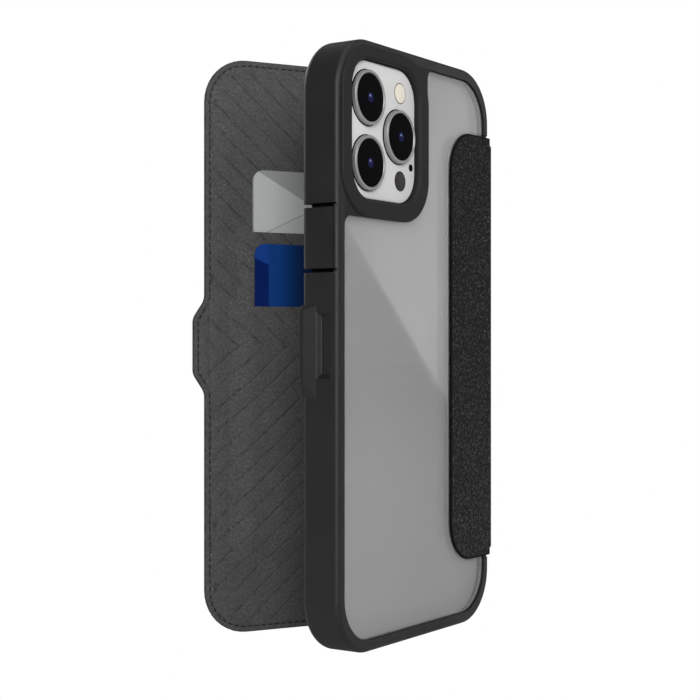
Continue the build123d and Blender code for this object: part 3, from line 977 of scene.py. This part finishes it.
def leather_material():
    material, tree, shader = new_material("pebbled_leather", Specular_IOR_Level=0.2)
    place = flat_place(tree)
    warp = add(tree, "ShaderNodeTexNoise", {"Vector": place, "Scale": 90.0, "Detail": 2.0})
    shifted = add(tree, "ShaderNodeVectorMath",
                  {0: place, 1: scaled(tree, warp.outputs["Color"], 0.012)}, operation="ADD")
    cells = add(tree, "ShaderNodeTexVoronoi", {"Vector": shifted.outputs["Vector"],
                                               "Scale": 115.0, "Smoothness": 0.15},
                feature="SMOOTH_F1", voronoi_dimensions="3D")
    creases = add(tree, "ShaderNodeTexVoronoi", {"Vector": shifted.outputs["Vector"],
                                                 "Scale": 88.0, "Randomness": 1.0},
                  feature="DISTANCE_TO_EDGE")
    blotch = noise_node(tree, place, 9.0, 4.0)
    grain = noise_node(tree, place, 420.0, 3.0)
    pebble = ramp(tree, cells.outputs["Distance"], [(0.0, 1.0), (0.35, 0.75), (0.72, 0.0)])
    valley = ramp(tree, creases.outputs["Distance"], [(0.0, 0.0), (0.07, 0.75), (0.2, 1.0)])
    height = math_node(tree, "MULTIPLY", pebble, valley)
    height = math_node(tree, "ADD", height, math_node(tree, "MULTIPLY", grain, 0.25))
    # The colour follows the pebble height: painted shade in the valleys between pebbles and a
    # painted highlight on their tops.
    colour = ramp(tree, height, [(0.45, 0.0005), (0.7, 0.005), (0.95, 0.085)])
    colour = mixed(tree, ramp(tree, blotch, [(0.35, 0.0), (0.7, 0.2)]), colour,
                   (0.004, 0.004, 0.0041))
    # Darkens the colour by the dark attribute: painted shade in the seam groove and a painted
    # shadow round the flap's edge, with the dark edge paint on the cut edges.
    dark = add(tree, "ShaderNodeAttribute", attribute_name="dark").outputs["Fac"]
    colour = mixed(tree, math_node(tree, "MULTIPLY", dark, 0.95), colour,
                   (0.001, 0.001, 0.001))
    wire(tree, shader, Base_Color=colour)
    rough = ramp(tree, height, [(0.3, 0.55), (0.95, 0.27)])
    wire(tree, shader, Roughness=math_node(tree, "MAXIMUM", rough, dark))
    bump(tree, shader, height, 1.0, 0.0007)
    return material


def scaled(tree, vector, factor):
    return add(tree, "ShaderNodeVectorMath", {0: vector, "Scale": factor},
               operation="SCALE").outputs["Vector"]


def lining_material():
    material, tree, shader = new_material("brushed_microfibre", Sheen_Weight=0.25,
                                          Sheen_Roughness=0.45, Specular_IOR_Level=0.2,
                                          Roughness=0.92)
    place = flat_place(tree)
    blotch = noise_node(tree, place, 22.0, 5.0, 0.62)
    nap = noise_node(tree, place, 130.0, 4.0, 0.6)
    stretched = add(tree, "ShaderNodeMapping", {"Vector": place, "Scale": (3.0, 1.0, 1.0),
                                                "Rotation": (0, 0, 0.5)})
    fibre = noise_node(tree, stretched.outputs["Vector"], 300.0, 3.0, 0.7)
    colour = ramp(tree, blotch, [(0.3, 0.052), (0.5, 0.068), (0.72, 0.086)])
    colour = mixed(tree, 0.55, colour, ramp(tree, nap, [(0.32, 0.035), (0.5, 0.068),
                                                        (0.72, 0.12)]))
    # Darkens the colour by the dark attribute: painted shade in the channels and the seam groove,
    # and the cut edge's dark edge paint, uneven in patches.
    dark = add(tree, "ShaderNodeAttribute", attribute_name="dark").outputs["Fac"]
    patchiness = ramp(tree, noise_node(tree, place, 45.0, 3.0), [(0.36, 0.15), (0.62, 0.95)])
    colour = mixed(tree, math_node(tree, "MULTIPLY", dark, patchiness), colour,
                   (0.012, 0.012, 0.0125))
    patch = ramp(tree, noise_node(tree, place, 12.0, 2.0), [(0.48, 0.0), (0.62, 0.75)])
    fleck = ramp(tree, noise_node(tree, place, 210.0, 1.0), [(0.64, 0.0), (0.72, 1.0)])
    colour = mixed(tree, math_node(tree, "MULTIPLY", patch, fleck), colour,
                   (0.22, 0.22, 0.22))
    wire(tree, shader, Base_Color=colour)
    height = math_node(tree, "ADD", nap, math_node(tree, "MULTIPLY", fibre, 0.5))
    bump(tree, shader, height, 0.5, 0.00012)
    return material


def moulded_material(name, colour, roughness, specular=0.4):
    """Matte moulded rubber or plastic: fine spark texture, faint handling marks."""
    material, tree, shader = new_material(name, Specular_IOR_Level=specular)
    place = object_place(tree)
    fine = noise_node(tree, place, 3600.0, 2.0)
    marks = noise_node(tree, place, 55.0, 5.0)
    low, high = [tuple(c * f for c in colour) for f in (0.85, 1.15)]
    wire(tree, shader, Base_Color=ramp(tree, marks, [(0.35, low), (0.65, high)]),
         Roughness=ramp(tree, marks, [(0.35, roughness - 0.05), (0.65, roughness + 0.06)]))
    bump(tree, shader, fine, 0.25, 0.00005)
    return material


def panel_material():
    """Clear hard plastic: mostly see-through, glossy, with the faintest scuffs."""
    material, tree, shader = new_material("clear_polycarbonate", Alpha=0.35, IOR=1.58,
                                          Specular_IOR_Level=1.0)
    place = object_place(tree)
    scuff = noise_node(tree, place, 40.0, 4.0)
    wire(tree, shader, Base_Color=ramp(tree, scuff, [(0.3, 0.385), (0.7, 0.41)]),
         Roughness=ramp(tree, scuff, [(0.35, 0.02), (0.75, 0.035)]))
    return material


def thread_material():
    material, tree, shader = new_material("waxed_thread", Specular_IOR_Level=0.35)
    place = object_place(tree)
    strand = add(tree, "ShaderNodeTexWave", {"Vector": place, "Scale": 900.0,
                                             "Distortion": 2.0}, bands_direction="DIAGONAL")
    twist = strand.outputs["Fac"]
    wire(tree, shader, Base_Color=ramp(tree, twist, [(0.2, 0.003), (0.8, 0.012)]),
         Roughness=ramp(tree, twist, [(0.2, 0.7), (0.8, 0.5)]))
    bump(tree, shader, twist, 0.4, 0.00005)
    return material


def card_coordinates(tree):
    """(x, z) of a card in the cover's frame, in millimetres, as two sockets."""
    place = object_place(tree)
    along = add(tree, "ShaderNodeVectorMath", {0: place}, operation="DOT_PRODUCT")
    along.inputs[1].default_value = (COVER_DIR.x / MM, COVER_DIR.y / MM, 0)
    x = math_node(tree, "SUBTRACT", along.outputs["Value"], COVER_HINGE.dot(COVER_DIR))
    height = add(tree, "ShaderNodeSeparateXYZ", {"Vector": place}).outputs["Z"]
    return x, math_node(tree, "DIVIDE", height, MM)


def beside(tree, x, z, a, b, soft=0.12):
    """1 on the left of the line from a to b, 0 on its right, with a soft edge."""
    way = (Vector(b) - Vector(a)).normalized()
    normal = Vector((-way.y, way.x))
    first = math_node(tree, "MULTIPLY", x, normal.x)
    second = math_node(tree, "MULTIPLY", z, normal.y)
    distance = math_node(tree, "SUBTRACT", math_node(tree, "ADD", first, second),
                         normal.dot(Vector(a)))
    scaled_distance = math_node(tree, "DIVIDE", distance, soft)
    return math_node(tree, "ADD", scaled_distance, 0.5, clamp=True)


def light_card_material():
    """A silver card with two slanted tones, as plain printed plastic."""
    material, tree, shader = new_material("silver_card", Specular_IOR_Level=0.4)
    x, z = card_coordinates(tree)
    right, top = CARD_UPPER_HIGH[0], CARD_UPPER_HIGH[2]
    grain = noise_node(tree, object_place(tree), 2500.0, 2.0)
    base = ramp(tree, grain, [(0.3, (0.43, 0.45, 0.445)), (0.7, (0.47, 0.49, 0.485))])
    upper = beside(tree, x, z, (right - 16.6, top - 8.6), (right - 1.3, top - 0.3))
    base = mixed(tree, upper, base, (0.27, 0.28, 0.279))
    lower = beside(tree, x, z, (right - 5.4, top - 17.7), (right - 17.0, top - 12.2))
    base = mixed(tree, lower, base, (0.42, 0.435, 0.43))
    line_a = beside(tree, x, z, (right - 5.4, top - 17.45), (right - 17.0, top - 11.95))
    line = math_node(tree, "SUBTRACT", line_a, lower, clamp=True)
    base = mixed(tree, line, base, (0.21, 0.22, 0.22))
    wire(tree, shader, Base_Color=base,
         Roughness=ramp(tree, grain, [(0.3, 0.38), (0.7, 0.46)]))
    bump(tree, shader, grain, 0.1, 0.00002)
    return material


def blue_card_material():
    """A blue card printed in a few overlapping panes."""
    material, tree, shader = new_material("blue_card", Specular_IOR_Level=0.3,
                                          Coat_Weight=0.1, Coat_Roughness=0.2)
    x, z = card_coordinates(tree)
    right, top = CARD_LOWER_HIGH[0], CARD_LOWER_HIGH[2]
    grain = noise_node(tree, object_place(tree), 700.0, 2.0)
    shade = add(tree, "ShaderNodeMapRange", {"Value": x, "From Min": right - 17.0,
                                             "From Max": right - 5.0})
    base = ramp(tree, shade.outputs["Result"], [(0.0, (0.004, 0.012, 0.055)),
                                                (0.35, (0.004, 0.027, 0.105)),
                                                (0.75, (0.005, 0.044, 0.20)),
                                                (1.0, (0.006, 0.040, 0.19))])
    band = beside(tree, x, z, (right - 4.2, top), (right - 4.2, top - 40))
    bright = beside(tree, x, z, (right, top - 4.3), (right - 4.2, top - 6.0))
    base = mixed(tree, math_node(tree, "MULTIPLY", band, 0.85), base, (0.001, 0.008, 0.085))
    head = math_node(tree, "MULTIPLY", band, math_node(tree, "SUBTRACT", 1.0, bright))
    base = mixed(tree, head, base, (0.008, 0.046, 0.24))
    foot = beside(tree, x, z, (right, top - 10.5), (right - 4.2, top - 13.0))
    base = mixed(tree, math_node(tree, "MULTIPLY", math_node(tree, "MULTIPLY", band, foot), 0.7),
                 base, (0.003, 0.014, 0.11))
    wire(tree, shader, Base_Color=base,
         Roughness=ramp(tree, grain, [(0.3, 0.29), (0.7, 0.31)]))
    return material


def plain_material(name, colour, roughness, metallic=0.0):
    """Hidden pieces: an even tone broken up by fine noise."""
    material, tree, shader = new_material(name, Metallic=metallic, Roughness=roughness)
    mottle = noise_node(tree, object_place(tree), 300.0, 4.0)
    low, high = [tuple(min(1.0, c * f) for c in colour) for f in (1 - 0.15, 1 + 0.15)]
    wire(tree, shader, Base_Color=ramp(tree, mottle, [(0.3, low), (0.7, high)]))
    bump(tree, shader, mottle, 0.3, 0.00005)
    return material


def dress_cad_nodes():
    """Better materials on the CAD pieces whose shape stays."""
    rubber = moulded_material("matte_bumper", (0.0068, 0.0068, 0.007), 0.5)
    looks = {
        "bumper": rubber,
        "power_button": rubber,
        "volume_up_button": rubber,
        "volume_down_button": rubber,
        "camera_surround": moulded_material("satin_surround", (0.0125, 0.0125, 0.0128), 0.6, 0.2),
        "back_panel": panel_material(),
        "flap_adhesive": plain_material("adhesive_film", (0.7, 0.69, 0.64), 0.6),
        "catch_plate": plain_material("catch_steel", (0.55, 0.55, 0.55), 0.35, 1.0),
        "tab_magnet": plain_material("magnet_plating", (0.5, 0.5, 0.51), 0.25, 1.0),
        "spine_board": plain_material("spine_fibreboard", (0.24, 0.21, 0.17), 0.85),
        "cover_board": plain_material("cover_fibreboard", (0.24, 0.21, 0.17), 0.85),
        "cover_padding": plain_material("felt_padding", (0.11, 0.11, 0.11), 0.95),
        "card_upper": light_card_material(),
        "card_lower": blue_card_material(),
    }
    for node, material in looks.items():
        for material_slot in nodes[node].material_slots:
            material_slot.material = material


# ---------------------------------------------------------------- stand-in phone (stage)

PHONE_SIZE = (78.1, 7.65, 160.8)
PHONE_CORNER = 13.2
CAMERA_X = (-34.7, -0.35)    # the opening in the surround
CAMERA_Z = (39.7, 77.7)
LENS_SPOTS = ((-25.7, 67.3), (-25.7, 49.6), (-10.0, 58.4))


def ring_points(x, z, corner, step=10):
    outline = rounded([(x[0], z[0]), (x[1], z[0]), (x[1], z[1]), (x[0], z[1])], [corner] * 4,
                      step=400, arc_steps=step)
    return [(p.x, p.y) for p in outline]


def lofted(name, sections, material):
    """A closed body through rounded rectangles: (x span, z span, corner, y)."""
    work = bmesh.new()
    rings = []
    for x, z, corner, y in sections:
        rings.append([work.verts.new(Vector((px, y, pz)) * MM)
                      for px, pz in ring_points(x, z, corner)])
    for near, far in zip(rings, rings[1:]):
        for k in range(len(near)):
            after = (k + 1) % len(near)
            work.faces.new((near[k], near[after], far[after], far[k]))
    work.faces.new(rings[0])
    work.faces.new(list(reversed(rings[-1])))
    mesh = bpy.data.meshes.new(name)
    work.to_mesh(mesh)
    work.free()
    piece = finished(name, mesh, smooth_angle=35)
    piece.data.materials.append(material)
    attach(piece, "shell")


def centred_section(width, height, corner, y):
    return (-width / 2, width / 2), (-height / 2, height / 2), corner, y


def disc(name, centre, radii, heights, material):
    """A round stack on the phone's back: (radius, y) rings about a centre (x, z)."""
    sections = [((centre[0] - r, centre[0] + r), (centre[1] - r, centre[1] + r), r * 0.9999, y)
                for r, y in zip(radii, heights)]
    lofted(name, sections, material)


def make_phone():
    """A plain phone of the size the case is made for.  It is stage dressing only."""
    back = new_material("phone_back", Base_Color=(0.46, 0.46, 0.463, 1), Roughness=0.55)[0]
    plate = new_material("phone_plate", Base_Color=(0.66, 0.655, 0.65, 1), Roughness=0.5)[0]
    rim = new_material("phone_metal", Base_Color=(0.3, 0.3, 0.3, 1), Roughness=0.35,
                       Metallic=0.6)[0]
    glass = new_material("phone_glass", Base_Color=(0.0025, 0.0025, 0.003, 1), Roughness=0.6,
                         Specular_IOR_Level=0.02)[0]
    # The lens middles carry a painted blue reflection, and a small painted highlight sits just
    # off each middle.
    blue = new_material("lens_painted_reflection", Base_Color=(0.008, 0.008, 0.05, 1), Roughness=0.5,
                        Specular_IOR_Level=0.05)[0]
    spark = new_material("lens_painted_highlight", Base_Color=(0.16, 0.19, 0.45, 1), Roughness=0.5)[0]
    dark = new_material("sensor_cover", Base_Color=(0.025, 0.02, 0.023, 1), Roughness=0.45,
                        Specular_IOR_Level=0.25)[0]
    flash = new_material("flash_cover", Base_Color=(0.78, 0.72, 0.62, 1), Roughness=0.35)[0]
    width, depth, height = PHONE_SIZE
    lofted("stage_phone_back",
           [centred_section(width - 1.2, height - 1.2, PHONE_CORNER - 0.6, 0.01),
            centred_section(width - 0.6, height - 0.6, PHONE_CORNER - 0.3, 0.2)], back)
    lofted("stage_phone_frame",
           [centred_section(width - 0.6, height - 0.6, PHONE_CORNER - 0.3, 0.2),
            centred_section(width, height, PHONE_CORNER, 0.6),
            centred_section(width, height, PHONE_CORNER, depth - 0.6)], glass)
    lofted("stage_phone_screen",
           [centred_section(width, height, PHONE_CORNER, depth - 0.6),
            centred_section(width - 0.3, height - 0.3, PHONE_CORNER - 0.15, depth - 0.2),
            centred_section(width - 1.2, height - 1.2, PHONE_CORNER - 0.6, depth)], glass)
    window = (CAMERA_X, CAMERA_Z)
    plateau = [tuple((low + 0.15 + t, high - 0.15 - t) for low, high in window)
               + (8.9 - t, y) for t, y in ((0, 0.0), (0, -0.8), (0.25, -1.2), (0.9, -1.4))]
    lofted("stage_phone_plateau", list(reversed(plateau)), plate)
    for k, spot in enumerate(LENS_SPOTS):
        disc(f"stage_lens_foot_{k}", spot, (7.75, 7.75), (-1.3, -1.6), glass)
        disc(f"stage_lens_ring_{k}", spot, (7.5, 7.5, 7.3, 6.75, 6.6),
             (-1.3, -2.6, -2.8, -2.8, -2.5), rim)
        disc(f"stage_lens_glass_{k}", spot, (6.55, 6.55, 6.3), (-1.3, -2.6, -2.68), glass)
        # A painted reflection in each lens's middle and a painted highlight beside it.
        disc(f"stage_lens_core_{k}", spot, (1.35, 1.35, 1.2), (-2.6, -2.7, -2.71), blue)
        disc(f"stage_lens_painted_highlight_{k}", (spot[0] - 0.2, spot[1] + 0.5), (0.35, 0.35), (-2.6, -2.73),
             spark)
    disc("stage_flash_rim", (-8.7, 70.8), (2.95, 2.95), (-1.3, -1.43), dark)
    disc("stage_flash", (-8.7, 70.8), (2.7, 2.7, 2.5), (-1.3, -1.5, -1.55), flash)
    disc("stage_sensor", (-8.7, 46.2), (2.85, 2.85, 2.7), (-1.3, -1.45, -1.5), dark)
    disc("stage_microphone", (-3.0, 50.5), (1.05, 1.05), (-1.3, -1.45), glass)


# ---------------------------------------------------------------- floor, lights and camera

CAMERA_PLACE = Vector((-366.4, -224.7, -1.1))
CAMERA_TURN = math.radians(-56.12)
CAMERA_LENS = 77.28
GLARE_EDGE = ((-36.5, 32.5), (21.3, -20.4))     # (x, z) on the clear panel
# strength along the box's edge, from its top end
GLARE_FADE = [(0.43, 0.5), (0.46, 0.8), (0.52, 1.0), (0.57, 0.75), (0.62, 0.0)]
GLARE_AWAY = 450.0           # of the box from the case, in y
GLARE_SIZE = (1500.0, 700.0)
FLOOR_REACH = 6.0            # in metres
FLOOR_GAP = 0.0005           # under the case, so the two don't touch


def make_camera():
    data = bpy.data.cameras.new("camera")
    data.lens = CAMERA_LENS
    data.sensor_width = 36.0
    data.clip_start = 0.01
    camera = bpy.data.objects.new("camera", data)
    camera.location = CAMERA_PLACE * MM
    camera.rotation_euler = (math.pi / 2, 0, CAMERA_TURN)
    bpy.context.scene.collection.objects.link(camera)
    bpy.context.scene.camera = camera


def soft_box(name, size, watts):
    """A rectangular light of a size in metres, not yet placed."""
    data = bpy.data.lights.new(name, "AREA")
    data.shape = "RECTANGLE"
    data.size, data.size_y = size
    data.energy = watts
    light = bpy.data.objects.new(name, data)
    bpy.context.scene.collection.objects.link(light)
    return light


def area_light(name, place, target, size, watts):
    """A soft box at place, in metres, facing target."""
    light = soft_box(name, size, watts)
    light.location = place
    light.rotation_euler = (Vector(target) - Vector(place)).to_track_quat("-Z", "Y").to_euler()


def glare_light(watts):
    """The soft box whose straight edge is mirrored across the clear panel."""
    face = PLATE_LOW.y
    mirror = Vector((CAMERA_PLACE.x, 2 * face - CAMERA_PLACE.y, CAMERA_PLACE.z))
    seen = []
    for x, z in GLARE_EDGE:
        ray = Vector((x, face, z)) - mirror
        seen.append(mirror + ray * ((-GLARE_AWAY - mirror.y) / ray.y))
    along = (seen[1] - seen[0]).normalized()
    facing = Vector((0, 1, 0))
    across = along.cross(facing)
    if across.z < 0:
        across = -across
    length, width = GLARE_SIZE
    centre = (seen[0] + seen[1]) / 2 + across * (width / 2)
    light = soft_box("glare_box", (length * MM, width * MM), watts)
    basis = Matrix((along, -facing.cross(along), -facing)).transposed()
    light.matrix_world = Matrix.Translation(centre * MM) @ basis.to_4x4()
    light.visible_diffuse = False
    light.data.use_nodes = True
    tree = light.data.node_tree
    place = add(tree, "ShaderNodeNewGeometry")
    across_box = add(tree, "ShaderNodeSeparateXYZ", {"Vector": place.outputs["Parametric"]})
    fade = ramp(tree, across_box.outputs["X"], GLARE_FADE)
    tree.links.new(fade, tree.nodes["Emission"].inputs["Strength"])


def white_to_camera(tree, other, white, output):
    """The white shader where the camera looks straight at it, the other one elsewhere."""
    seen = add(tree, "ShaderNodeLightPath")
    choice = add(tree, "ShaderNodeMixShader", {0: seen.outputs["Is Camera Ray"],
                                               1: other.outputs[0], 2: white.outputs[0]})
    add(tree, output, {"Surface": choice.outputs[0]})


def make_world(strength):
    """Even pale surroundings, pure white where the camera sees them."""
    world = bpy.data.worlds.new("studio")
    bpy.context.scene.world = world
    world.use_nodes = True
    tree = world.node_tree
    tree.nodes.clear()
    dim = add(tree, "ShaderNodeBackground", {"Color": (1, 1, 1, 1), "Strength": strength})
    white = add(tree, "ShaderNodeBackground", {"Color": (1, 1, 1, 1), "Strength": 1.0})
    white_to_camera(tree, dim, white, "ShaderNodeOutputWorld")


def make_floor():
    """A pale floor under the case, lit up to the white of the surroundings."""
    mesh = bpy.data.meshes.new("floor")
    reach = FLOOR_REACH
    below = cad_box[0].z - FLOOR_GAP
    mesh.from_pydata([(-reach, -reach, below), (reach, -reach, below), (reach, reach, below),
                      (-reach, reach, below)], [], [(0, 1, 2, 3)])
    floor = bpy.data.objects.new("floor", mesh)
    bpy.context.scene.collection.objects.link(floor)
    material = bpy.data.materials.new("floor_paint")
    material.use_nodes = True
    tree = material.node_tree
    tree.nodes.clear()
    paint = add(tree, "ShaderNodeBsdfDiffuse", {"Color": (0.8, 0.8, 0.8, 1)})
    glow = add(tree, "ShaderNodeEmission", {"Color": (1, 1, 1, 1), "Strength": 1.0})
    white_to_camera(tree, paint, glow, "ShaderNodeOutputMaterial")
    floor.data.materials.append(material)


def make_lights():
    make_world(0.15)
    area_light("key", (-0.3, -1.3, 0.75), (0, 0, 0.02), (0.7, 0.7), 6)
    area_light("lining_light", (-1.15, -0.75, 0.45), (0, 0, 0), (0.7, 0.9), 15)
    area_light("edge_strip", (-0.6, 1.0, 0.3), (0, 0, 0), (0.3, 1.2), 0.6)
    area_light("overhead", (0, -0.1, 1.4), (0, 0, 0), (0.9, 0.6), 4)
    area_light("front_fill", (0.5, 1.3, 0.5), (0, 0, 0), (1.0, 1.0), 10)
    glare_light(6.0)
    bpy.context.scene.view_settings.view_transform = "Standard"


lining_look = lining_material()
leather_look = leather_material()
make_lining(lining_look)
make_front_leather(leather_look)
make_back_leather(leather_look)
make_pockets(lining_look)
make_stitches(thread_material())
dress_cad_nodes()
make_phone()
make_floor()
make_lights()
make_camera()
